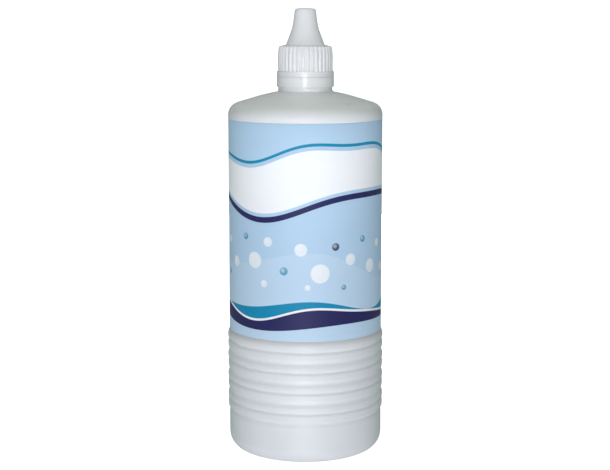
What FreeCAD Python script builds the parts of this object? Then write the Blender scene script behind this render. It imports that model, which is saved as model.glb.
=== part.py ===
import FreeCAD, Part
import math
import os

# Squeeze bottle for lens solution, 500 ml, with a conical screw cap, tamper band,
# dropper nozzle pressed in the neck, and a wrap-round film label.
# Millimetres, +Z up, origin at the centre of the standing ring on the floor.
# The front is -Y, and the label's lap seam is at the back, +Y.

# ---------------------------------------------------------------- driving dimensions
# bottle body
R_BAND = 34.62        # plain band at the foot
R_PANEL = 34.45       # label panel
R_CREST_NARROW = 35.28
R_CREST_WIDE = 35.20
R_SHARP = 34.40       # groove below each narrow rib
R_SOFT = 34.56        # groove below each wide rib
WALL = 1.05           # side wall
FOOT_FILLET = 7.40
RING_IN = 22.0        # inner radius of the standing ring
PUSH_UP = 3.8         # height of the push-up at the centre
FLOOR = 1.30          # floor thickness
Z_VALLEYS = [18.55, 23.40, 27.75, 32.55, 36.85, 41.70, 45.95, 50.80]
Z_RIB_TOP = 52.45     # crest of the top rib
Z_PANEL_LO = 55.75
SHOULDER_R = 6.0
SHOULDER_C = (28.45, 152.40)
SHOULDER_SLOPE = 18.5
R_COLLAR = 12.12
Z_COLLAR_LO = 162.84
Z_COLLAR_HI = 164.80
R_NECK_LOW = 9.90
R_BEAD = 11.15
Z_BEAD_LO = 166.75
Z_BEAD_HI = 168.15
R_NECK = 9.45
Z_RIM = 179.95
R_BORE = 7.75

# screw thread, one start, right hand
LEAD = 3.0
R_THREAD = 10.35      # crest on the neck
THREAD_ROOT_W = 1.5
THREAD_CREST_W = 0.6
Z_THREAD = 172.8      # middle of the thread where it starts
TURNS = 1.5

# nozzle insert
R_PLUG = 7.70
R_PLUG_BORE = 6.30
Z_PLUG_LO = 171.95
R_NOZ_FLANGE = 9.30
T_NOZ_FLANGE = 1.50
R_ORIFICE = 0.85
Z_TIP = 196.0

# screw cap
R_CAP_FLANGE = 12.78
Z_CAP_LO = 169.60
Z_FLANGE_HI = 171.95
R_SKIRT = 12.31
R_CAP_BORE = 10.60
R_CAP_THREAD = 9.75
Z_CAP_ROOF = 181.65   # underside of the roof over the nozzle's flange
Z_CAP_TOP = 199.72
N_FLUTES = 36
FLUTE_R = 0.70
FLUTE_DEPTH = 0.35
R_PIN = 0.80
Z_PIN = 193.6
CAP_THREAD_DROP = 1.06  # the cap's thread lies this far below the neck's

# tamper band
R_TAMPER_LO = 12.85
R_TAMPER_HI = 12.75
Z_TAMPER_LO = 165.00
Z_TAMPER_HI = 169.40
R_TAMPER_IN = 11.55
R_TAMPER_LIP = 10.60
N_STUBS = 10
STUB_H = 0.15

# label
LABEL_T = 0.10
Z_LABEL_LO = 55.87
Z_LABEL_HI = 150.90
LAP_DEG = 9.0


# ---------------------------------------------------------------- helpers
def P(r, z):
    return FreeCAD.Vector(r, 0, z)


def line(a, b):
    return Part.LineSegment(P(*a), P(*b)).toShape()


def arc(a, m, b):
    return Part.Arc(P(*a), P(*m), P(*b)).toShape()


def curve(points):
    c = Part.BSplineCurve()
    c.interpolate([P(*q) for q in points])
    return c.toShape()


def crown(r, sag, r_mid):
    """Drop at r_mid of a dome centred on the axis that drops by sag at r."""
    ball = (r * r + sag * sag) / (2 * sag)
    return ball - math.sqrt(ball * ball - r_mid * r_mid)


def profile(start, steps):
    """Edges from start; a step is an end point, a middle and an end point of an arc,
    or "curve" and the points of a spline."""
    edges, at = [], start
    for s in steps:
        if s[0] == "curve":
            edges.append(curve((at,) + s[1:]))
            at = s[-1]
        elif isinstance(s[0], tuple):
            edges.append(arc(at, s[0], s[1]))
            at = s[1]
        else:
            edges.append(line(at, s))
            at = s
    if math.hypot(at[0] - start[0], at[1] - start[1]) > 1e-9:
        edges.append(line(at, start))
    return edges


def turned(start, steps):
    face = Part.Face(Part.Wire(profile(start, steps)))
    solid = face.revolve(FreeCAD.Vector(0, 0, 0), FreeCAD.Vector(0, 0, 1), 360)
    if solid.ShapeType != "Solid":
        solid = solid.Solids[0]
    if solid.Volume < 0:
        solid.reverse()
    return solid


def on_arc(c, rad, deg):
    a = math.radians(deg)
    return (c[0] + rad * math.cos(a), c[1] + rad * math.sin(a))


def thread(r_root, r_crest, r_deep, z0, turns, start_deg):
    """Helical trapezoid from r_root to r_crest, sunk to r_deep in its wall."""
    helix = Part.makeHelix(LEAD, LEAD * turns, r_root)
    w, c = THREAD_ROOT_W / 2, THREAD_CREST_W / 2
    grow = (w - c) / abs(r_crest - r_root) * abs(r_deep - r_root)
    pts = [P(r_deep, -w - grow), P(r_crest, -c), P(r_crest, c), P(r_deep, w + grow)]
    wire = Part.makePolygon(pts + [pts[0]])
    solid = Part.Wire(helix.Edges).makePipeShell([wire], True, True)
    if solid.ShapeType != "Solid":
        solid = Part.Solid(solid)
    if solid.Volume < 0:
        solid.reverse()
    solid.translate(FreeCAD.Vector(0, 0, z0))
    solid.rotate(FreeCAD.Vector(0, 0, 0), FreeCAD.Vector(0, 0, 1), start_deg)
    return solid


def one(shape):
    solids = shape.Solids
    assert len(solids) == 1, len(solids)
    assert solids[0].isValid()
    return solids[0]


os.makedirs("parts", exist_ok=True)


# ---------------------------------------------------------------- bottle body
def ribs(inset):
    """Rib arcs from the lowest valley up to the label panel."""
    steps = []
    for i in range(len(Z_VALLEYS) - 1):
        lo, hi = Z_VALLEYS[i], Z_VALLEYS[i + 1]
        wide = i % 2 == 0
        crest = R_CREST_WIDE if wide else R_CREST_NARROW
        steps.append(((crest - inset, (lo + hi) / 2), ((R_SHARP if wide else R_SOFT) - inset, hi)))
    # the top rib runs out in a long flank below the label
    steps.append(((R_CREST_NARROW - inset, Z_RIB_TOP), (R_CREST_NARROW - 0.19 - inset, Z_RIB_TOP + 1.55)))
    steps.append(((R_CREST_NARROW - 0.47 - inset, Z_RIB_TOP + 2.50), (R_PANEL - inset, Z_PANEL_LO)))
    return steps


foot_c = (R_BAND - FOOT_FILLET, FOOT_FILLET)
slope = 90 - SHOULDER_SLOPE
outer = [
    (RING_IN, 0.0),
]
steps = [
    (foot_c[0], 0.0),
    (on_arc(foot_c, FOOT_FILLET, -45), (R_BAND, FOOT_FILLET)),
    (R_BAND, Z_VALLEYS[0] - 0.15),
    (R_SOFT, Z_VALLEYS[0]),
]
steps += ribs(0.0)
steps += [
    (R_PANEL, SHOULDER_C[1]),
    (on_arc(SHOULDER_C, SHOULDER_R, slope / 2), on_arc(SHOULDER_C, SHOULDER_R, slope)),
    ("curve", (26.4, 159.27), (22.14, 160.61), (17.5, 161.88), (12.95, Z_COLLAR_LO)),
    ((12.34, 163.02), (R_COLLAR, 163.45)),
    (R_COLLAR, Z_COLLAR_HI - 0.25),
    (R_COLLAR - 0.25, Z_COLLAR_HI),
    (R_NECK_LOW, Z_COLLAR_HI),
    (R_NECK_LOW, Z_BEAD_LO),
    (R_BEAD - 0.15, Z_BEAD_LO),
    (R_BEAD, Z_BEAD_LO + 0.15),
    (R_BEAD, Z_BEAD_LO + 0.45),
    (R_NECK, Z_BEAD_HI),
    (R_NECK, Z_RIM - 0.3),
    (R_NECK - 0.3, Z_RIM),
    (R_BORE, Z_RIM),
    (R_BORE, 166.0),
    ((8.55, 163.7), (10.8, 162.15)),
    ("curve", (15.9, 161.10), (21.0, 159.80), (25.6, 158.46), on_arc(SHOULDER_C, SHOULDER_R - 1.0, slope)),
    (on_arc(SHOULDER_C, SHOULDER_R - 1.0, slope / 2), (R_PANEL - 1.0, SHOULDER_C[1])),
]
# inside of the wall, downwards: the same ribs, one wall thickness in
inside = []
at = (R_PANEL - WALL, Z_PANEL_LO)
inside.append((R_PANEL - WALL, SHOULDER_C[1] - 1.5))
inside.append(at)
rib_steps = ribs(WALL)
# reverse the rib steps
ends = [(R_SOFT - WALL, Z_VALLEYS[0])]
for s in rib_steps:
    ends.append(s[1] if isinstance(s[0], tuple) else s)
for i in range(len(rib_steps) - 1, -1, -1):
    s = rib_steps[i]
    if isinstance(s[0], tuple):
        inside.append((s[0], ends[i]))
    else:
        inside.append(ends[i])
in_c = (R_BAND - 1.1 - (FOOT_FILLET - 1.2), FLOOR + FOOT_FILLET - 1.2)
inside += [
    (R_BAND - 1.1, Z_VALLEYS[0] - 0.4),
    (R_BAND - 1.1, in_c[1]),
    (on_arc(in_c, FOOT_FILLET - 1.2, -45), (in_c[0], FLOOR)),
    (RING_IN + 0.7, FLOOR),
    (RING_IN - 1.1, FLOOR + 1.45),
    ((10.5, FLOOR + PUSH_UP - crown(RING_IN - 1.1, PUSH_UP - 1.45, 10.5)), (0.0, FLOOR + PUSH_UP)),
    (0.0, PUSH_UP),
    ((10.5, PUSH_UP - crown(RING_IN - 1.5, PUSH_UP - 1.40, 10.5)), (RING_IN - 1.5, 1.40)),
]
steps += inside
body = turned(outer[0], steps)
neck_thread = thread(R_NECK, R_THREAD, R_NECK - 0.3, Z_THREAD, TURNS, 0.0)
body = one(body.fuse(neck_thread))
body.exportStep("parts/bottle_body.step")

# ---------------------------------------------------------------- nozzle insert
zf = Z_RIM + T_NOZ_FLANGE
nozzle = turned(
    (R_PLUG_BORE, Z_PLUG_LO),
    [
        (R_PLUG - 0.6, Z_PLUG_LO),
        (R_PLUG, Z_PLUG_LO + 1.0),
        (R_PLUG, 173.45),
        (R_BORE, 173.65),
        (R_BORE, 174.65),
        (R_PLUG, 174.85),
        (R_PLUG, 176.75),
        (R_BORE, 176.95),
        (R_BORE, 177.95),
        (R_PLUG, 178.15),
        (R_PLUG, Z_RIM),
        (R_NOZ_FLANGE - 0.15, Z_RIM),
        (R_NOZ_FLANGE, Z_RIM + 0.15),
        (R_NOZ_FLANGE, zf - 0.3),
        (R_NOZ_FLANGE - 0.3, zf),
        (6.55, zf),
        ((5.92, zf + 0.30), (5.62, zf + 1.05)),
        (2.42, Z_TIP - 0.55),
        ((2.22, Z_TIP - 0.16), (1.80, Z_TIP)),
        (R_ORIFICE + 0.25, Z_TIP),
        (R_ORIFICE, Z_TIP - 0.25),
        (R_ORIFICE, 192.7),
        (1.25, 192.3),
        (4.40, 182.2),
        (R_PLUG_BORE, 179.6),
    ],
)
one(nozzle).exportStep("parts/nozzle_insert.step")

# ---------------------------------------------------------------- screw cap
cap = turned(
    (0.0, Z_CAP_TOP),
    [
        (0.0, Z_PIN),
        (0.35, Z_PIN),
        (R_PIN, Z_PIN + 0.7),
        (R_PIN, Z_TIP + 0.35),
        (2.20, Z_TIP + 0.35),
        (2.20, 198.15),
        (3.35, 198.15),
        ((3.62, 198.04), (3.74, 197.75)),
        ((4.82, 190.65), (7.05, 184.35)),
        (7.25, Z_CAP_ROOF),
        (R_CAP_BORE - 0.4, Z_CAP_ROOF),
        (R_CAP_BORE, Z_CAP_ROOF - 0.4),
        (R_CAP_BORE, Z_CAP_LO + 0.75),
        (R_CAP_BORE + 0.5, Z_CAP_LO),
        (R_CAP_FLANGE - 0.2, Z_CAP_LO),
        ((R_CAP_FLANGE - 0.06, Z_CAP_LO + 0.06), (R_CAP_FLANGE, Z_CAP_LO + 0.2)),
        (R_CAP_FLANGE, Z_FLANGE_HI - 0.2),
        ((R_CAP_FLANGE - 0.06, Z_FLANGE_HI - 0.06), (R_CAP_FLANGE - 0.2, Z_FLANGE_HI)),
        (R_SKIRT, Z_FLANGE_HI),
        (R_SKIRT, 178.2),
        ("curve", (12.25, 179.5), (12.10, 181.0), (11.84, 182.58)),
        ((11.78, 182.76), (11.60, 182.87)),
        (8.94, 183.66),
        ((8.64, 183.79), (8.46, 184.05)),
        ((6.05, 190.65), (4.93, 197.60)),
        (4.72, 198.70),
        ((4.43, 199.22), (3.90, 199.50)),
        ((2.0, Z_CAP_TOP - crown(3.90, Z_CAP_TOP - 199.50, 2.0)), (0.0, Z_CAP_TOP)),
    ],
)
cap_thread = thread(
    R_CAP_BORE, R_CAP_THREAD, R_CAP_BORE + 0.3, Z_THREAD - CAP_THREAD_DROP - 0.5, TURNS, -60.0
)
cap = cap.fuse(cap_thread)
cutters = []
for k in range(N_FLUTES):
    a = 2 * math.pi * k / N_FLUTES - math.pi / 2
    rc = R_SKIRT - FLUTE_DEPTH + FLUTE_R
    out = FreeCAD.Vector(math.cos(a), math.sin(a), 0)
    foot = out * rc + FreeCAD.Vector(0, 0, Z_FLANGE_HI)
    cutters.append(Part.makeCylinder(FLUTE_R, 8.4, foot))
    # near the top the skirt leans in, and the flute with it
    knee = out * (rc + 0.02) + FreeCAD.Vector(0, 0, 178.6)
    cutters.append(Part.makeCylinder(FLUTE_R, 6.0, knee, FreeCAD.Vector(0, 0, 1) - out * 0.115))
cap = one(cap.cut(Part.makeCompound(cutters)))
cap.exportStep("parts/screw_cap.step")

# ---------------------------------------------------------------- tamper band
band = turned(
    (R_TAMPER_IN, Z_TAMPER_HI),
    [
        (R_TAMPER_IN, 166.75),
        (R_TAMPER_LIP + 0.3, 166.45),
        (R_TAMPER_LIP, 166.15),
        (R_TAMPER_LIP, 165.6),
        (R_TAMPER_LIP + 0.6, Z_TAMPER_LO),
        (R_TAMPER_LO - 0.2, Z_TAMPER_LO),
        ((R_TAMPER_LO - 0.06, Z_TAMPER_LO + 0.06), (R_TAMPER_LO, Z_TAMPER_LO + 0.2)),
        (R_TAMPER_HI, Z_TAMPER_HI - 0.15),
        (R_TAMPER_HI - 0.15, Z_TAMPER_HI),
    ],
)
# what is left of the bridges that held the band to the cap
stubs = []
for k in range(N_STUBS):
    s = Part.makeBox(0.5, 0.9, STUB_H + 0.4, FreeCAD.Vector(11.95, -0.45, Z_TAMPER_HI - 0.4))
    s.rotate(FreeCAD.Vector(0, 0, 0), FreeCAD.Vector(0, 0, 1), 360.0 * k / N_STUBS + 12.0)
    stubs.append(s)
band = one(band.fuse(stubs))
band.exportStep("parts/tamper_band.step")

# ---------------------------------------------------------------- wrap label
film = Part.makeCylinder(
    R_PANEL + LABEL_T, Z_LABEL_HI - Z_LABEL_LO, FreeCAD.Vector(0, 0, Z_LABEL_LO)
).cut(Part.makeCylinder(R_PANEL, Z_LABEL_HI - Z_LABEL_LO + 2, FreeCAD.Vector(0, 0, Z_LABEL_LO - 1)))
# the lap at the back, where the film's end lies on its start
h = Z_LABEL_HI - Z_LABEL_LO
lap = Part.makeCylinder(
    R_PANEL + 2 * LABEL_T, h, FreeCAD.Vector(0, 0, Z_LABEL_LO), FreeCAD.Vector(0, 0, 1), LAP_DEG
).cut(
    Part.makeCylinder(R_PANEL + LABEL_T / 2, h + 2, FreeCAD.Vector(0, 0, Z_LABEL_LO - 1))
)
lap.rotate(FreeCAD.Vector(0, 0, 0), FreeCAD.Vector(0, 0, 1), 90.0 - LAP_DEG / 2)
label = one(film.fuse(lap))
label.exportStep("parts/wrap_label.step")

for name, s in (("body", body), ("nozzle", nozzle), ("cap", cap), ("band", band), ("label", label)):
    bb = s.BoundBox
    print(name, round(s.Volume, 1), "valid", s.isValid(), [round(v, 3) for v in (bb.XMin, bb.YMin, bb.ZMin, bb.XMax, bb.YMax, bb.ZMax)])
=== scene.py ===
import math

import bpy
import numpy as np
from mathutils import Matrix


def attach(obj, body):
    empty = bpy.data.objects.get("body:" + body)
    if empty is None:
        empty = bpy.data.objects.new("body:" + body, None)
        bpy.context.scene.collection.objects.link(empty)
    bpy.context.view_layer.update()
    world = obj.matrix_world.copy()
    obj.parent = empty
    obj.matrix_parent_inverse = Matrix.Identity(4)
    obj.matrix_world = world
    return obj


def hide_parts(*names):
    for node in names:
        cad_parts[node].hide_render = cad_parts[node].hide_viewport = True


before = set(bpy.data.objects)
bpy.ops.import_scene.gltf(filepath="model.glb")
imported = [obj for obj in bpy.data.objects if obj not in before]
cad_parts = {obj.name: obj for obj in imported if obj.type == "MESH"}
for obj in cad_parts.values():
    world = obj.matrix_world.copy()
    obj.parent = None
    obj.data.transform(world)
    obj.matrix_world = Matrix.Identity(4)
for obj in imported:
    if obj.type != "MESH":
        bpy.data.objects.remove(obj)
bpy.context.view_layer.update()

MM = 0.001
TAU = 2 * math.pi

# ------------------------------------------------------------------ profiles (millimetres, r and z)


class Path:
    """A half profile: points (r, z) walked with lines, arcs and smooth curves."""

    def __init__(self, r, z):
        self.p = [(r, z)]

    def line(self, r, z, n=1):
        r0, z0 = self.p[-1]
        for i in range(1, n + 1):
            t = i / n
            self.p.append((r0 + (r - r0) * t, z0 + (z - z0) * t))
        return self

    def arc(self, rm, zm, r, z, n=8):
        (x1, y1), (x2, y2), (x3, y3) = self.p[-1], (rm, zm), (r, z)
        d = 2 * (x1 * (y2 - y3) + x2 * (y3 - y1) + x3 * (y1 - y2))
        s1, s2, s3 = x1 * x1 + y1 * y1, x2 * x2 + y2 * y2, x3 * x3 + y3 * y3
        cx = (s1 * (y2 - y3) + s2 * (y3 - y1) + s3 * (y1 - y2)) / d
        cy = (s1 * (x3 - x2) + s2 * (x1 - x3) + s3 * (x2 - x1)) / d
        rad = math.hypot(x1 - cx, y1 - cy)
        a1, a2, a3 = (math.atan2(y - cy, x - cx) for x, y in ((x1, y1), (x2, y2), (x3, y3)))
        ccw = ((a2 - a1) % TAU) < ((a3 - a1) % TAU)
        span = (a3 - a1) % TAU if ccw else -((a1 - a3) % TAU)
        for i in range(1, n + 1):
            a = a1 + span * i / n
            self.p.append((cx + rad * math.cos(a), cy + rad * math.sin(a)))
        self.p[-1] = (r, z)
        return self

    def curve(self, pts, n=6):
        """Smooth through pts (Catmull-Rom with end points doubled)."""
        q = [self.p[-1]] + list(pts)
        ext = [(2 * q[0][0] - q[1][0], 2 * q[0][1] - q[1][1])] + q + [(2 * q[-1][0] - q[-2][0], 2 * q[-1][1] - q[-2][1])]
        for k in range(1, len(ext) - 2):
            p0, p1, p2, p3 = ext[k - 1 : k + 3]
            for i in range(1, n + 1):
                t = i / n
                self.p.append(
                    tuple(
                        0.5 * (2 * p1[c] + (p2[c] - p0[c]) * t + (2 * p0[c] - 5 * p1[c] + 4 * p2[c] - p3[c]) * t * t + (3 * p1[c] - p0[c] - 3 * p2[c] + p3[c]) * t ** 3)
                        for c in (0, 1)
                    )
                )
        return self


class Build:
    """Collects islands of one mesh: vertices in millimetres, faces, and rings to keep sharp."""

    def __init__(self):
        self.v, self.f, self.sharp = [], [], set()

    def lathe(self, prof, th, shape=None, loop=True, sharp_deg=32.0):
        """Turns prof about Z over the angles th. shape(k, r, z, th) gives each point's radius and height."""
        prof = list(prof)
        if loop and math.hypot(prof[0][0] - prof[-1][0], prof[0][1] - prof[-1][1]) < 1e-6:
            prof.pop()
        n, m = len(prof), len(th)
        rings = []
        for k, (r, z) in enumerate(prof):
            if r < 1e-6:
                rings.append([len(self.v)])
                self.v.append((0.0, 0.0, z))
                continue
            rr, zz = np.full(m, r), np.full(m, z)
            if shape:
                rr, zz = shape(k, r, z, th)
            start = len(self.v)
            self.v.extend(zip(rr * np.cos(th), rr * np.sin(th), zz))
            rings.append(list(range(start, start + m)))
        last = n if loop and len(rings[0]) > 1 and len(rings[-1]) > 1 else n - 1
        for k in range(last):
            a, b = rings[k], rings[(k + 1) % n]
            for j in range(m):
                j2 = (j + 1) % m
                if len(a) == 1:
                    self.f.append((a[0], b[j2], b[j]))
                elif len(b) == 1:
                    self.f.append((a[j], a[j2], b[0]))
                else:
                    self.f.append((a[j], a[j2], b[j2], b[j]))
        for k in range(n):
            if len(rings[k]) == 1 or (not loop and k in (0, n - 1)):
                continue
            (r0, z0), (r1, z1), (r2, z2) = prof[k - 1], prof[k], prof[(k + 1) % n]
            ax, ay, bx, by = r1 - r0, z1 - z0, r2 - r1, z2 - z1
            turn = abs(math.degrees(math.atan2(ax * by - ay * bx, ax * bx + ay * by)))
            if turn > sharp_deg:
                ring = rings[k]
                for j in range(m):
                    self.sharp.add((ring[j], ring[(j + 1) % m]))
        return self

    def strip(self, sections):
        """A closed solid from a run of sections with the same number of points each."""
        n = len(sections[0])
        start = len(self.v)
        for s in sections:
            self.v.extend(s)
        for i in range(len(sections) - 1):
            a, b = start + i * n, start + (i + 1) * n
            for j in range(n):
                j2 = (j + 1) % n
                self.f.append((a + j, a + j2, b + j2, b + j))
        self.f.append(tuple(start + j for j in reversed(range(n))))
        end = start + (len(sections) - 1) * n
        self.f.append(tuple(end + j for j in range(n)))
        return self

    def make(self, name):
        me = bpy.data.meshes.new(name)
        v = np.array(self.v, dtype=float) * MM
        me.from_pydata(v.tolist(), [], self.f)
        me.validate()
        me.polygons.foreach_set("use_smooth", [True] * len(me.polygons))
        if self.sharp:
            flags = np.zeros(len(me.edges), dtype=bool)
            ev = np.zeros(len(me.edges) * 2, dtype=np.int32)
            me.edges.foreach_get("vertices", ev)
            ev = ev.reshape(-1, 2)
            keys = {(min(a, b), max(a, b)) for a, b in self.sharp}
            for i, (a, b) in enumerate(ev):
                if (min(a, b), max(a, b)) in keys:
                    flags[i] = True
            att = me.attributes.get("sharp_edge") or me.attributes.new("sharp_edge", "BOOLEAN", "EDGE")
            att.data.foreach_set("value", flags)
        me.update()
        ob = bpy.data.objects.new(name, me)
        bpy.context.scene.collection.objects.link(ob)
        return ob


def helix(r_root, r_crest, r_deep, z0, lead, turns, start_deg, w=0.75, c=0.3, fade_deg=28.0, n=180):
    """Sections of a screw thread whose ends run out into the wall."""
    out = []
    for i in range(n + 1):
        t = i / n
        a = math.radians(start_deg) + TAU * turns * t
        z = z0 + lead * turns * t
        deg = 360 * turns * t
        k = max(0.03, min(1.0, deg / fade_deg, (360 * turns - deg) / fade_deg))
        k = k * k * (3 - 2 * k)
        crest = r_root + (r_crest - r_root) * k
        mid = r_root + (r_crest - r_root) * k * 0.86
        cw = c * (0.55 + 0.45 * k)
        pts = [(r_deep, -w - 0.1), (r_root, -w), (mid, -cw - 0.09), (crest, -cw * 0.72), (crest, cw * 0.72), (mid, cw + 0.09), (r_root, w), (r_deep, w + 0.1)]
        if r_crest < r_root:
            pts = pts[::-1]
        out.append([(r * math.cos(a), r * math.sin(a), z + dz) for r, dz in pts])
    return out


# ------------------------------------------------------------------ bottle
RING_IN, PUSH_UP, FLOOR, FOOT = 22.0, 3.8, 1.30, 7.4
R_BAND, R_PANEL, R_FILM = 34.64, 34.45, 34.55
NARROW, WIDE = 35.28, 35.20
LOW_LINE, LOW_RUN = 0.36, 2.0         # hollow between the lowest rib and the plain band
VALLEYS = [18.70, 23.45, 27.75, 32.68, 36.85, 41.88, 45.95, 50.98]
SH_R, SH_C, SH_SLOPE = 5.95, (28.63, 152.38), 71.5


def crown(r, sag, r_mid):
    ball = (r * r + sag * sag) / (2 * sag)
    return ball - math.sqrt(ball * ball - r_mid * r_mid)


def on_arc(c, rad, deg):
    a = math.radians(deg)
    return c[0] + rad * math.cos(a), c[1] + rad * math.sin(a)


def groove(s, deep, above, below):
    """Depth of a rounded groove at height s from its bottom."""
    w = above if s > 0 else below
    return deep * (0.5 + 0.5 * math.cos(math.pi * s / w)) if abs(s) < w else 0.0


Z_CREST, Z_UNDER = 52.45, 55.87      # top rib: crest, and where its flank meets the label's edge
Z_LO, Z_HI = 55.87, 150.90           # the label's edges


def rib_radius(z):
    """Outer radius through the ribs: crisp grooves under the narrow ribs, soft ones under the wide."""
    if z >= Z_CREST:
        return NARROW - 0.92 * ((z - Z_CREST) / (Z_UNDER - Z_CREST)) ** 2
    if z < VALLEYS[0]:
        return R_BAND - groove(z - VALLEYS[0], LOW_LINE, 1.0, LOW_RUN)
    crest = NARROW
    for i in range(7):
        if VALLEYS[i] <= z <= VALLEYS[i + 1]:
            crest = WIDE if i % 2 == 0 else NARROW
    deep = 0.0
    for i, v in enumerate(VALLEYS):
        if i == 0:
            g = groove(z - v, WIDE - R_BAND + LOW_LINE, 1.40, 1.0)
        elif i % 2:
            g = groove(z - v, 0.71 - (NARROW - crest), 1.08, 1.35)
        else:
            g = groove(z - v, 0.57 - (NARROW - crest), 2.10, 2.20)
        deep = max(deep, g)
    return crest - deep


body = Path(0.0, PUSH_UP)
for r in np.linspace(0, RING_IN - 1.5, 13)[1:]:
    body.line(float(r), PUSH_UP - crown(RING_IN - 1.5, PUSH_UP - 1.40, float(r)))
body.arc(RING_IN - 0.55, 0.62, RING_IN + 0.35, 0.0, 6)
fc = (R_BAND - FOOT, FOOT)
body.line(fc[0], 0.0, 4).arc(*on_arc(fc, FOOT, -45), R_BAND, FOOT, 20)
body.line(R_BAND, VALLEYS[0] - LOW_RUN - 0.1, 4)
zs = list(np.arange(VALLEYS[0] - LOW_RUN + 0.06, Z_CREST - 0.1, 0.24)) + list(np.linspace(Z_CREST, Z_UNDER, 19))
for z in zs:
    body.line(rib_radius(float(z)), float(z))
body.line(R_PANEL, 56.1).line(R_PANEL, Z_HI + 0.06, 12).arc(R_FILM - 0.03, Z_HI + 0.09, R_FILM, Z_HI + 0.16, 3).line(SH_C[0] + SH_R, SH_C[1], 2)
body.arc(*on_arc(SH_C, SH_R, SH_SLOPE / 2), *on_arc(SH_C, SH_R, SH_SLOPE), 18)
body.curve([(26.5, 159.25), (22.14, 160.56), (17.5, 161.84), (12.93, 162.80)], 6)
body.arc(12.32, 162.96, 12.12, 163.34, 8)
body.line(12.12, 164.80, 4).arc(12.09, 164.89, 12.00, 164.92, 4)
body.line(10.15, 164.92).arc(9.97, 164.99, 9.90, 165.17, 3)
body.line(9.90, 166.75).line(11.00, 166.75).arc(11.11, 166.79, 11.15, 166.90, 3)
body.line(11.15, 167.15).arc(11.11, 167.26, 11.02, 167.32, 3).line(9.62, 168.05).arc(9.50, 168.14, 9.45, 168.3, 3)
body.line(9.45, 179.65, 6).arc(9.36, 179.86, 9.15, 179.95, 4)
body.line(7.95, 179.95).arc(7.81, 179.89, 7.75, 179.75, 3)
body.line(7.75, 166.0, 6).arc(8.55, 163.7, 10.8, 162.15, 10)
body.curve([(15.9, 161.10), (21.0, 159.80), (25.7, 158.46), on_arc(SH_C, SH_R - 1.0, SH_SLOPE)], 4)
body.arc(*on_arc(SH_C, SH_R - 1.0, SH_SLOPE / 2), SH_C[0] + SH_R - 1.0, SH_C[1], 8)
body.line(R_PANEL - 1.05, SH_C[1] - 1.5).line(R_PANEL - 1.05, 55.6, 6)
for z in [51.1] + [(a + b) / 2 for a, b in zip(VALLEYS, VALLEYS[1:])][::-1]:
    body.line(34.05, z + 1.1).line(34.05, z - 1.1)
fi = (R_BAND - 1.1 - (FOOT - 1.2), FLOOR + FOOT - 1.2)
body.line(R_BAND - 1.1, VALLEYS[0] - 0.4).line(R_BAND - 1.1, fi[1], 2)
body.arc(*on_arc(fi, FOOT - 1.2, -45), fi[0], FLOOR, 8)
body.line(RING_IN + 0.7, FLOOR).line(RING_IN - 1.1, FLOOR + 1.45)
for r in np.linspace(RING_IN - 1.1, 0, 9)[1:]:
    body.line(float(r), FLOOR + PUSH_UP - crown(RING_IN - 1.1, PUSH_UP - 1.45, float(r)))

# columns all round, with more of them at the two mould parting lines (at +X and -X)
near = np.radians([0.0, 0.22, 0.45, 0.75, 1.1])
cols = set(np.round(np.linspace(0, TAU, 216, endpoint=False), 9))
cols = {c for c in cols if min(abs(math.remainder(c, math.pi)), 9) > near[-1] + 0.004}
for c0 in (0.0, math.pi):
    for d in near:
        cols |= {round(float((c0 + d) % TAU), 9), round(float((c0 - d) % TAU), 9)}
TH_BODY = np.array(sorted(cols))
SEAM = np.abs(np.array([math.remainder(float(t), math.pi) for t in TH_BODY]))
n_out = next(i for i, (r, z) in enumerate(body.p) if z > 179.7)


def body_shape(k, r, z, th):
    rr, zz = np.full(len(th), r), np.full(len(th), z)
    if k > n_out:
        return rr, zz
    # blown wall: a hair of unevenness away from the label panel, the foot ring and the neck
    calm = 0.0
    if 3.0 < z < 17.0:
        calm = min(1.0, (z - 3.0) / 4.0, (17.0 - z) / 3.0)
    elif 153.5 < z < 162.5:
        calm = min(1.0, (z - 153.5) / 3.0, (162.5 - z) / 2.0)
    if calm > 0:
        rr = rr + calm * (0.035 * np.sin(2 * th + 0.7 + 0.05 * z) + 0.022 * np.sin(5 * th + 1.3 - 0.11 * z))
    # parting line: a fine ridge
    if 0.5 < z < 164.0 and r > 12.0:
        under = 0.35 if 55.6 < z < 151.0 else 1.0
        rr = rr + under * 0.085 * np.clip(1 - SEAM / math.radians(0.75 * 34.4 / max(r, 12.0)), 0, 1) ** 1.4
    return rr, zz


b = Build()
b.lathe(body.p, TH_BODY, body_shape, loop=False)
b.strip(helix(9.45, 10.35, 9.20, 172.8, 3.0, 1.5, 0.0))
# pinch-off scar under the foot, in line with the parting lines
sections = []
for x in np.linspace(-17.5, 17.5, 41):
    t = abs(x) / 17.5
    k = max(0.04, 1 - t ** 4)
    z = PUSH_UP - crown(RING_IN - 1.5, PUSH_UP - 1.40, abs(float(x)))
    sec = []
    for a in np.linspace(0, TAU, 9)[:-1]:
        sec.append((float(x), 0.36 * k * math.cos(a), z - 0.28 * k * math.sin(a)))
    sections.append(sec)
b.strip(sections)
bottle = b.make("bottle_shell")

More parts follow.
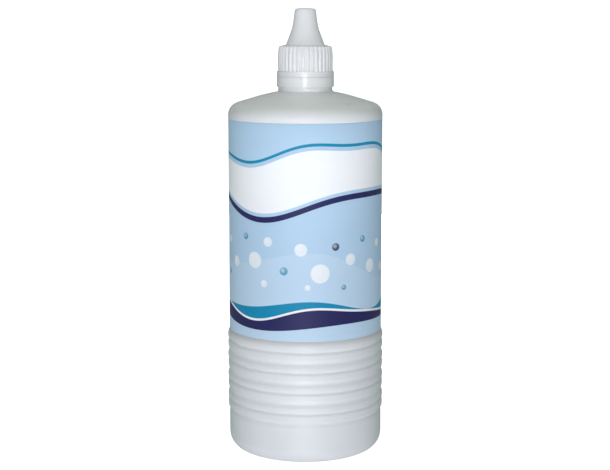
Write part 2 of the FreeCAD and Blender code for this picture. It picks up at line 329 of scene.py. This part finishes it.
# ------------------------------------------------------------------ nozzle insert
noz = Path(6.30, 172.15).arc(6.36, 172.01, 6.5, 171.95, 3)
noz.line(7.0, 171.95).arc(7.1, 171.98, 7.16, 172.07, 3).line(7.70, 172.95)
noz.line(7.70, 173.45).line(7.75, 173.65).line(7.75, 174.65).line(7.70, 174.85).line(7.70, 176.75).line(7.75, 176.95)
noz.line(7.75, 177.95).line(7.70, 178.15).line(7.70, 179.95).line(9.15, 179.95).arc(9.256, 179.994, 9.30, 180.10, 3)
noz.line(9.30, 181.15).arc(9.21, 181.36, 9.0, 181.45, 5).line(6.75, 181.45, 3).arc(5.98, 181.72, 5.62, 182.50, 7)
noz.line(2.46, 195.36, 10).arc(2.29, 195.80, 1.80, 196.0, 6).line(1.12, 196.0).arc(0.93, 195.93, 0.85, 195.75, 4)
noz.line(0.85, 192.7, 3).line(1.25, 192.3).line(4.40, 182.2, 6).line(6.30, 179.6, 2).line(6.30, 172.15, 4)
TH_NOZ = np.linspace(0, TAU, 160, endpoint=False)
b = Build()
b.lathe(noz.p, TH_NOZ)
nozzle = b.make("nozzle_plug")

# ------------------------------------------------------------------ screw cap
N_FLUTES, FLUTE_DEPTH = 36, 0.48
cap = Path(0.0, 193.6)
cap.line(0.30, 193.6).arc(0.48, 193.66, 0.55, 193.85, 3).line(0.80, 194.5).line(0.80, 196.35, 3).line(2.05, 196.35).arc(2.16, 196.39, 2.20, 196.50, 3)
cap.line(2.20, 198.15).line(3.35, 198.15).arc(3.62, 198.04, 3.74, 197.75, 4)
cap.arc(4.82, 190.65, 7.05, 184.35, 14).line(7.25, 181.65, 2).line(10.2, 181.65, 2).line(10.6, 181.25).line(10.6, 170.35, 8).line(11.1, 169.60)
cap.line(12.72, 169.60).arc(12.763, 169.617, 12.78, 169.66, 4)
cap.line(12.78, 171.75, 3).arc(12.72, 171.89, 12.58, 171.95, 5)
i_flute0 = len(cap.p)
cap.line(12.31, 171.98)
cap.line(12.31, 178.2, 10)
cap.curve([(12.25, 179.5), (12.10, 181.0), (11.84, 182.60)], 6)
i_edge = len(cap.p)
cap.arc(11.80, 182.74, 11.68, 182.84, 4)
i_bevel = len(cap.p)
cap.line(11.15, 183.00).line(8.86, 183.62, 5)
cap.arc(8.62, 183.73, 8.50, 183.95, 5)
cap.curve([(8.27, 184.55), (7.95, 185.50), (7.32, 187.08), (6.65, 188.83), (6.06, 190.58), (5.65, 192.33), (5.33, 194.08), (5.11, 195.83), (4.96, 197.14), (4.84, 198.10), (4.70, 198.70)], 4)
cap.arc(4.42, 199.20, 3.90, 199.50, 8)
cap.curve([(2.6, 199.66), (1.25, 199.72)], 4).line(0.95, 199.60).line(0.0, 199.60)
TH_CAP = np.linspace(0, TAU, N_FLUTES * 16, endpoint=False) - math.pi / 2


def cap_shape(k, r, z, th):
    rr, zz = np.full(len(th), r), np.full(len(th), z)
    if k < i_flute0 or k >= i_bevel:
        return rr, zz
    ph = np.abs(((th + math.pi / 2) * N_FLUTES / TAU + 0.5) % 1.0 - 0.5) / 0.38
    # round-bottomed groove between flat-topped ridges with eased edges
    g = FLUTE_DEPTH * np.where(ph < 1, 0.5 * (1 + np.cos(math.pi * np.clip(ph, 0, 1))), 0.0) ** 0.8
    if k >= i_edge:
        zz = zz + g * 0.33          # the scalloped edge lies on the bevel
    return rr - g, zz


b = Build()
b.lathe(cap.p, TH_CAP, cap_shape, loop=False)
b.strip(helix(10.60, 9.75, 10.85, 172.8 - 1.06 - 0.5, 3.0, 1.5, -60.0))
capob = b.make("cap_shell")

# ------------------------------------------------------------------ tamper band
band = Path(11.55, 169.38).line(11.55, 166.75, 3).line(10.90, 166.45).arc(10.68, 166.36, 10.60, 166.15, 3).line(10.60, 165.6, 2)
band.line(11.15, 165.05).arc(11.21, 165.01, 11.28, 165.0, 2).line(12.74, 165.0, 2).arc(12.82, 165.03, 12.85, 165.11, 4)
band.line(12.755, 169.47, 6).arc(12.74, 169.515, 12.695, 169.535, 4).line(11.70, 169.535).arc(11.59, 169.49, 11.55, 169.38, 3)
TH_BAND = np.linspace(0, TAU, 288, endpoint=False)
b = Build()
b.lathe(band.p, TH_BAND)
for k in range(10):
    a = TAU * k / 10 + math.radians(12.0)
    ca, sa = math.cos(a), math.sin(a)
    secs = []
    for z, g in ((168.55, 0.55), (168.7, 0.85), (168.9, 1.0), (169.40, 1.0), (169.52, 0.92), (169.575, 0.75)):
        sec = []
        for q in range(12):
            t = TAU * q / 12
            cx, cy = math.cos(t), math.sin(t)
            k4 = (abs(cx) ** 4 + abs(cy) ** 4) ** -0.25
            x = 12.45 + 0.345 * g * cx * k4
            y = 0.42 * g * cy * k4
            sec.append((x * ca - y * sa, x * sa + y * ca, z))
        secs.append(sec)
    b.strip(secs)
bandob = b.make("tamper_ring_shell")

# ------------------------------------------------------------------ wrap label
T_FILM = R_FILM - R_PANEL
lab = Path(R_PANEL, Z_LO).line(R_FILM - 0.015, Z_LO).arc(R_FILM - 0.0044, Z_LO + 0.0044, R_FILM, Z_LO + 0.015, 2)
lab.line(R_FILM, Z_HI - 0.015, 24).arc(R_FILM - 0.0044, Z_HI - 0.0044, R_FILM - 0.015, Z_HI, 2).line(R_PANEL, Z_HI).line(R_PANEL, Z_LO, 6)
# the film's end laps over its start at the back
lap0, lap1 = math.radians(90 - 4.5), math.radians(90 + 4.5)
cols = [float(t) for t in np.linspace(0, TAU, 360, endpoint=False)]
cols += [lap0 - 0.0052, lap0 - 0.0009, lap0, lap1, lap1 + 0.0011, lap1 + 0.03, lap1 + 0.06]
TH_LAB = np.array(sorted(set(round(c % TAU, 7) for c in cols)))


def label_shape(k, r, z, th):
    rr, zz = np.full(len(th), r), np.full(len(th), z)
    if r < R_PANEL + 0.05:
        return rr, zz
    # a clean cut edge on one side, a slow run-in on the other
    up = np.where((th >= lap0 - 1e-6) & (th <= lap1 + 1e-6), 1.0, 0.0)
    run = np.clip(1 - (th - lap1) / 0.06, 0, 1)
    up = np.where(th > lap1, run * run * (3 - 2 * run), up)
    return rr + T_FILM * 0.9 * up, zz


b = Build()
b.lathe(lab.p, TH_LAB, label_shape)
labelob = b.make("label_film_wrap")

# ------------------------------------------------------------------ node helpers


class Ex:
    """A value in a node tree, with arithmetic."""

    def __init__(self, tree, sock):
        self.t, self.s = tree, sock

    def _m(self, op, *args):
        n = self.t.nodes.new("ShaderNodeMath")
        n.operation = op
        for i, a in enumerate(args):
            if isinstance(a, Ex):
                self.t.links.new(a.s, n.inputs[i])
            else:
                n.inputs[i].default_value = float(a)
        return Ex(self.t, n.outputs[0])

    def __add__(self, o): return self._m("ADD", self, o)
    __radd__ = __add__
    def __sub__(self, o): return self._m("SUBTRACT", self, o)
    def __rsub__(self, o): return self._m("SUBTRACT", o, self)
    def __mul__(self, o): return self._m("MULTIPLY", self, o)
    __rmul__ = __mul__
    def __truediv__(self, o): return self._m("DIVIDE", self, o)
    def sin(self): return self._m("SINE", self)
    def abs(self): return self._m("ABSOLUTE", self)
    def sqrt(self): return self._m("SQRT", self)
    def min(self, o): return self._m("MINIMUM", self, o)
    def max(self, o): return self._m("MAXIMUM", self, o)
    def atan2(self, o): return self._m("ARCTAN2", self, o)

    def ramp(self, lo, hi, a=0.0, b=1.0, smooth=True):
        n = self.t.nodes.new("ShaderNodeMapRange")
        n.interpolation_type = "SMOOTHSTEP" if smooth else "LINEAR"
        self.t.links.new(self.s, n.inputs["Value"])
        for key, val in (("From Min", lo), ("From Max", hi), ("To Min", a), ("To Max", b)):
            n.inputs[key].default_value = val
        return Ex(self.t, n.outputs["Result"])

    def edge(self, w=0.06):
        """1 where positive, 0 where negative, with an edge w wide each way."""
        return self.ramp(-w, w)


def new_mat(name):
    m = bpy.data.materials.new(name)
    m.use_nodes = True
    t = m.node_tree
    t.nodes.clear()
    out = t.nodes.new("ShaderNodeOutputMaterial")
    p = t.nodes.new("ShaderNodeBsdfPrincipled")
    t.links.new(p.outputs[0], out.inputs["Surface"])
    return m, t, p


def obj_coord(t):
    n = t.nodes.new("ShaderNodeTexCoord")
    return n.outputs["Object"]


def mapped(t, coord, scale, loc=(0, 0, 0)):
    n = t.nodes.new("ShaderNodeMapping")
    n.inputs["Scale"].default_value = scale
    n.inputs["Location"].default_value = loc
    t.links.new(coord, n.inputs["Vector"])
    return n.outputs[0]


def noise(t, vec, scale, detail=2.0, rough=0.5, distort=0.0):
    n = t.nodes.new("ShaderNodeTexNoise")
    n.inputs["Scale"].default_value = scale
    n.inputs["Detail"].default_value = detail
    n.inputs["Roughness"].default_value = rough
    n.inputs["Distortion"].default_value = distort
    t.links.new(vec, n.inputs["Vector"])
    return Ex(t, n.outputs["Fac"])


def mix(t, fac, a, b):
    """a and b are colours or sockets, fac is an Ex."""
    n = t.nodes.new("ShaderNodeMix")
    n.data_type = "RGBA"
    n.clamp_factor = True
    t.links.new(fac.s, n.inputs[0])
    for i, c in ((6, a), (7, b)):
        if isinstance(c, (tuple, list)):
            n.inputs[i].default_value = (*c, 1.0) if len(c) == 3 else c
        else:
            t.links.new(c, n.inputs[i])
    return n.outputs[2]


def bump(t, height, distance, strength=1.0, normal=None):
    n = t.nodes.new("ShaderNodeBump")
    n.inputs["Strength"].default_value = strength
    n.inputs["Distance"].default_value = distance
    t.links.new(height.s, n.inputs["Height"])
    if normal is not None:
        t.links.new(normal, n.inputs["Normal"])
    return n.outputs[0]


def srgb(r, g, b):
    def f(c):
        c = c / 255
        return c / 12.92 if c <= 0.04045 else ((c + 0.055) / 1.055) ** 2.4
    return f(r), f(g), f(b)


# ------------------------------------------------------------------ materials
def plastic(name, light, dark, rough, shine, grain, streak, sss, sss_scale, painted_shade_z=None):
    """White moulded polyethylene: fine mould grain, faint draw lines, cloudy tone.
    painted_shade_z is a height in millimetres below which a band of painted shade fades out: darker colour standing in
    for the shade in the recess under the label's lower edge."""
    m, t, p = new_mat(name)
    co = obj_coord(t)
    cloud = noise(t, co, 26.0, 3.0, 0.55)
    lines = noise(t, mapped(t, co, (900.0, 900.0, 9.0)), 1.0, 2.0, 0.6)
    fine = noise(t, co, 2600.0, 2.0, 0.55)
    peel = noise(t, co, 420.0, 2.0, 0.5)
    tone = cloud * 0.75 + lines * 0.25
    col = mix(t, tone.ramp(0.30, 0.70), dark, light)
    # painted shade: a band of darker colour just under the label's lower edge stands in for the shade in the recess
    # there, mottled by the cloud noise
    if painted_shade_z:
        sep = t.nodes.new("ShaderNodeSeparateXYZ")
        t.links.new(co, sep.inputs[0])
        z = Ex(t, sep.outputs[2]) * 1000.0
        painted_shade = z.ramp(painted_shade_z - 3.2, painted_shade_z + 0.3) * z.ramp(painted_shade_z + 0.4, painted_shade_z + 0.5, 1.0, 0.0)
        col = mix(t, painted_shade * (cloud * 0.5 + 0.60), col, tuple(c * 0.72 for c in dark))
    t.links.new(col, p.inputs["Base Color"])
    r = cloud.ramp(0.3, 0.7, rough - 0.035, rough + 0.035) + (lines - 0.5) * 0.05 + (fine - 0.5) * 0.06
    t.links.new(r.s, p.inputs["Roughness"])
    n1 = bump(t, peel, 0.00001 * grain)
    n2 = bump(t, fine, 0.000004 * grain, 1.0, n1)
    n3 = bump(t, lines, 0.000006 * streak, 1.0, n2)
    t.links.new(n3, p.inputs["Normal"])
    p.inputs["IOR"].default_value = 1.5
    p.inputs["Specular IOR Level"].default_value = shine
    p.inputs["Subsurface Weight"].default_value = sss
    p.inputs["Subsurface Radius"].default_value = (1.0, 0.95, 0.9)
    p.inputs["Subsurface Scale"].default_value = sss_scale
    return m


# the bottle's plastic carries painted shade just below the label's lower edge (Z_LO)
mat_bottle = plastic("bottle_polyethylene", (0.806, 0.823, 0.830), (0.771, 0.791, 0.798), 0.31, 0.36, 1.6, 1.0, 0.12, 0.0015, Z_LO)
mat_cap = plastic("cap_polyethylene", (0.830, 0.835, 0.840), (0.800, 0.806, 0.812), 0.25, 0.36, 0.8, 0.35, 0.10, 0.0010)
mat_nozzle = plastic("nozzle_polyethylene", (0.790, 0.815, 0.825), (0.740, 0.770, 0.785), 0.38, 0.40, 0.8, 0.25, 0.35, 0.0020)


def label_material():
    m, t, p = new_mat("label_print")
    co = obj_coord(t)
    sep = t.nodes.new("ShaderNodeSeparateXYZ")
    t.links.new(co, sep.inputs[0])
    x, y, z = (Ex(t, sep.outputs[i]) for i in range(3))
    ang = x.atan2(y * -1.0)          # 0 at the front, positive to the right
    u = ang * R_FILM                  # millimetres round the label
    v = z * 1000.0 - Z_LO            # millimetres above its lower edge
    sky_lo, sky_hi = srgb(187, 216, 238), srgb(183, 213, 235)
    white, navy, teal = srgb(247, 250, 252), srgb(42, 42, 94), srgb(20, 144, 184)
    pale = srgb(206, 228, 244)
    col = mix(t, v.ramp(0.0, 94.0), sky_lo, sky_hi)

    # a pale broad swell behind everything
    swell = (ang * 2.0 + 2.2).sin() * 6.0 + (ang * 3.0 + 0.4).sin() * 3.0 + 33.0
    col = mix(t, (swell - v).edge(0.08) * 0.45, col, pale)

    # white band between two waves, with a teal line along its top and a navy one along its foot
    top = (ang * 2.0 + 0.5).sin() * 4.2 + (ang * 5.0 + 1.9).sin() * 1.2 + 80.0
    low = (ang * 2.0 - 0.4).sin() * 5.2 + (ang * 4.0 + 0.8).sin() * 1.1 + 62.0
    col = mix(t, ((top - v).min(v - low)).edge(), col, white)
    col = mix(t, ((top + 3.0 - v).min(v - top - 1.7)).edge(), col, teal)
    col = mix(t, ((low - 1.5 - v).min(v - low + 4.0)).edge(), col, navy)

    # a ribbon of navy and teal waves a little above the lower edge
    sea2 = (ang * 3.0 + 1.9).sin() * 2.4 + (ang * 4.0 + 0.2).sin() * 0.9 + 15.2
    sea1 = (ang * 3.0 + 0.6).sin() * 2.6 + (ang * 5.0 + 2.0).sin() * 0.8 + 11.4
    sea0 = (ang * 2.0 - 0.7).sin() * 1.4 + (ang * 3.0 + 0.9).sin() * 0.8 + 6.0
    keep = (v - sea0).edge()
    col = mix(t, (sea2 - v).edge() * keep, col, teal)
    col = mix(t, (sea1 + 1.0 - v).edge() * keep, col, white)
    col = mix(t, (sea1 - v).edge() * keep, col, navy)

    # bubbles: (mm round the label, mm up, radius, colour, strength)
    spots = [
        (-24.0, 35.0, 3.6, white, 0.80), (-17.0, 43.5, 2.1, white, 0.70), (-29.5, 45.0, 1.5, teal, 0.80),
        (-9.5, 31.0, 1.8, teal, 0.75), (-2.0, 40.5, 2.8, white, 0.75), (6.5, 30.0, 4.2, white, 0.85),
        (13.5, 41.5, 1.7, navy, 0.90), (21.0, 35.5, 2.6, white, 0.75), (28.0, 44.0, 1.5, teal, 0.80),
        (33.5, 31.5, 3.1, white, 0.75), (-37.0, 33.0, 2.4, white, 0.70), (40.0, 41.0, 1.9, white, 0.70),
        (1.0, 24.0, 1.3, white, 0.75), (-19.0, 25.0, 1.6, white, 0.75), (17.5, 23.5, 1.2, teal, 0.80),
        (-44.5, 42.0, 1.6, white, 0.70), (-45.0, 27.5, 1.3, teal, 0.75), (45.5, 29.5, 2.2, white, 0.75),
    ]
    for su, sv, r, c, a in spots:
        du, dv = u - su, v - sv
        d = (du * du + dv * dv).sqrt()
        col = mix(t, (r - d).edge(0.05) * a, col, c)
        # a lighter inner glow, off centre
        e = ((du + r * 0.22) * (du + r * 0.22) + (dv - r * 0.25) * (dv - r * 0.25)).sqrt()
        col = mix(t, (r * 0.52 - e).ramp(-r * 0.3, r * 0.3) * 0.38, col, white)

    # back of the label: a bare pale panel with a keyline on each side of the lap
    bu = u.abs() - 74.0
    bv = v - 35.2
    qx, qy = (bu.abs() - 21.0).max(0.0), (bv.abs() - 12.6).max(0.0)
    panel = (qx * qx + qy * qy).sqrt() * -1.0 + 3.0
    col = mix(t, panel.edge(), col, navy)
    col = mix(t, (panel - 0.35).edge(), col, srgb(238, 245, 250))

    # the film's cut edge shows a hair of its white core
    core = (0.10 - v).max(v - (Z_HI - Z_LO - 0.10))
    col = mix(t, core.edge(0.05) * 0.7, col, (0.85, 0.88, 0.90))
    # ink laid on film: a faint unevenness
    ink = noise(t, co, 900.0, 2.0, 0.6)
    tone = noise(t, co, 14.0, 2.0, 0.5)
    shade = ink.ramp(0.3, 0.7, 0.985, 1.0) * tone.ramp(0.25, 0.75, 0.97, 1.0)
    hsv = t.nodes.new("ShaderNodeHueSaturation")
    t.links.new(col, hsv.inputs["Color"])
    t.links.new(shade.s, hsv.inputs["Value"])
    t.links.new(hsv.outputs[0], p.inputs["Base Color"])

    rough = tone.ramp(0.25, 0.75, 0.50, 0.56) + (ink - 0.5) * 0.05
    t.links.new(rough.s, p.inputs["Roughness"])
    film = noise(t, mapped(t, co, (60.0, 60.0, 22.0)), 1.0, 2.0, 0.5)
    n1 = bump(t, film, 0.00004)
    n2 = bump(t, ink, 0.0000015, 1.0, n1)
    t.links.new(n2, p.inputs["Normal"])
    p.inputs["Diffuse Roughness"].default_value = 0.15
    p.inputs["IOR"].default_value = 1.49
    p.inputs["Specular IOR Level"].default_value = 0.25
    return m


mat_label = label_material()

for ob, mat, body_name, node, slot in (
    (bottle, mat_bottle, "bottle", "bottle_body", "bottle_plastic"),
    (nozzle, mat_nozzle, "bottle", "nozzle_insert", "nozzle_plastic"),
    (labelob, mat_label, "bottle", "wrap_label", "label_film"),
    (bandob, mat_cap, "tamper_ring", "tamper_band", "cap_plastic"),
    (capob, mat_cap, "cap", "screw_cap", "cap_plastic"),
):
    ob.data.materials.append(mat)
    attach(ob, body_name)
    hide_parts(node)

# ------------------------------------------------------------------ stage: floor, surround, light, camera
sc = bpy.context.scene


def stage_mat(name, albedo, glow):
    m, t, p = new_mat(name)
    co = obj_coord(t)
    n = noise(t, co, 3.0, 2.0, 0.5)
    t.links.new(mix(t, n, tuple(a * 0.99 for a in albedo), albedo), p.inputs["Base Color"])
    p.inputs["Roughness"].default_value = 0.9
    p.inputs["Specular IOR Level"].default_value = 0.1
    p.inputs["Emission Color"].default_value = (1.0, 1.0, 1.0, 1.0)
    p.inputs["Emission Strength"].default_value = glow
    return m


b = Build()
b.lathe([(0.0, 0.0), (60.0, 0.0), (200.0, 0.0), (600.0, 0.0), (3000.0, 0.0)][::-1], np.linspace(0, TAU, 96, endpoint=False), loop=False)
floor = b.make("floor")
floor.data.materials.append(stage_mat("floor_paint", (0.92, 0.92, 0.92), 0.74))
prof = [(2990.0 * math.cos(a), 2990.0 * math.sin(a)) for a in np.linspace(0, math.pi / 2 - 1e-3, 24)]
b = Build()
b.lathe(prof, np.linspace(0, TAU, 96, endpoint=False), loop=False)
dome = b.make("surround")
dome.data.materials.append(stage_mat("surround_paint", (0.95, 0.95, 0.95), 1.1))
for ob in (floor, dome):
    ob.visible_diffuse = False
    ob.visible_glossy = False
    ob.visible_transmission = False
floor.visible_shadow = False
dome.visible_shadow = False

# soft surround: brighter overhead and below than at the sides
world = bpy.data.worlds.new("studio")
sc.world = world
world.use_nodes = True
wt = world.node_tree
bg = wt.nodes["Background"]
wsep = wt.nodes.new("ShaderNodeSeparateXYZ")
wt.links.new(wt.nodes.new("ShaderNodeTexCoord").outputs["Generated"], wsep.inputs[0])
wx, wz = Ex(wt, wsep.outputs[0]), Ex(wt, wsep.outputs[2])
up, down = wz.max(0.0), wz.min(0.0)
comb = wt.nodes.new("ShaderNodeCombineColor")
for i, (side, over, under) in enumerate(((0.210, 0.675, 0.43), (0.250, 0.650, 0.45), (0.256, 0.578, 0.44))):
    g = up * up * over + down * down * under + wx * -0.03 + side
    wt.links.new(g.s, comb.inputs[i])
wt.links.new(comb.outputs[0], bg.inputs["Color"])
bg.inputs["Strength"].default_value = 1.0


def area(name, loc, aim, size, power, colour=(1, 1, 1)):
    la = bpy.data.lights.new(name, "AREA")
    la.shape = "RECTANGLE"
    la.size, la.size_y = size
    la.energy = power
    la.color = colour
    ob = bpy.data.objects.new(name, la)
    sc.collection.objects.link(ob)
    ob.location = loc
    d = np.array(aim) - np.array(loc)
    d = d / np.linalg.norm(d)
    ob.rotation_euler = (math.acos(-d[2]), 0.0, math.atan2(d[1], d[0]) - math.pi / 2)
    return ob


area("key", (-0.040, -0.80, 0.08), (0, 0, 0.100), (0.22, 0.28), 1.56, (1.0, 0.960, 1.075))
area("bounce", (-0.02, -0.49, -0.285), (0, 0, 0.060), (0.42, 0.26), 1.10, (1.0, 0.960, 1.065))


def spot(name, loc, aim, power, cone, soft, colour, blend=1.0):
    la = bpy.data.lights.new(name, "SPOT")
    la.energy, la.spot_size, la.spot_blend, la.shadow_soft_size = power, math.radians(cone), blend, soft
    la.color = colour
    ob = bpy.data.objects.new(name, la)
    sc.collection.objects.link(ob)
    ob.location = loc
    d = np.array(aim) - np.array(loc)
    d = d / np.linalg.norm(d)
    ob.rotation_euler = (math.acos(-d[2]), 0.0, math.atan2(d[1], d[0]) - math.pi / 2)
    return ob


# spots: two are flagged off just below the neck and lift the cap, one catches the panel from
# low down, one catches the ribs
spot("cap_spot", (0.0, -0.60, 0.065), (0, 0, 0.2732), 3.4, 20.0, 0.003, (1.0, 0.980, 1.000), 0.07)
spot("cap_glint", (-0.003, -0.67, 0.205), (0, 0, 0.1686), 1.65, 1.9, 0.004, (1.0, 0.975, 0.98), 0.5)
low = spot("panel_spot", (0.0, -0.47, -0.22), (0, -0.034, 0.150), 4.6, 14.0, 0.03, (1.0, 0.980, 1.000))
lit = bpy.data.collections.new("lit_by_panel_spot")
for ob in (bottle, labelob):
    lit.objects.link(ob)
low.light_linking.receiver_collection = lit
spot("rib_glint", (-0.003, -0.175, -0.065), (0, -0.035, 0.048), 0.15, 24.0, 0.012, (1.0, 0.970, 1.04))
back = area("back_fill", (0.04, 0.80, 0.06), (0, 0, 0.100), (0.44, 0.40), 3.8, (1.0, 0.965, 1.03))
back.visible_glossy = False           # no glare along the far edge of the shoulder

cam = bpy.data.cameras.new("camera")
cam.sensor_fit = "HORIZONTAL"
cam.sensor_width = 36.0
cam.lens = 36.0 * 1492.9 / 610
cam.clip_start, cam.clip_end = 0.01, 50.0
camob = bpy.data.objects.new("camera", cam)
sc.collection.objects.link(camob)
camob.location = (-0.00014, -0.670, 0.198)
camob.rotation_euler = (math.radians(90 - 8.5007), 0.0, 0.0)
sc.camera = camob
sc.view_settings.view_transform = "Standard"
sc.view_settings.look = "None"
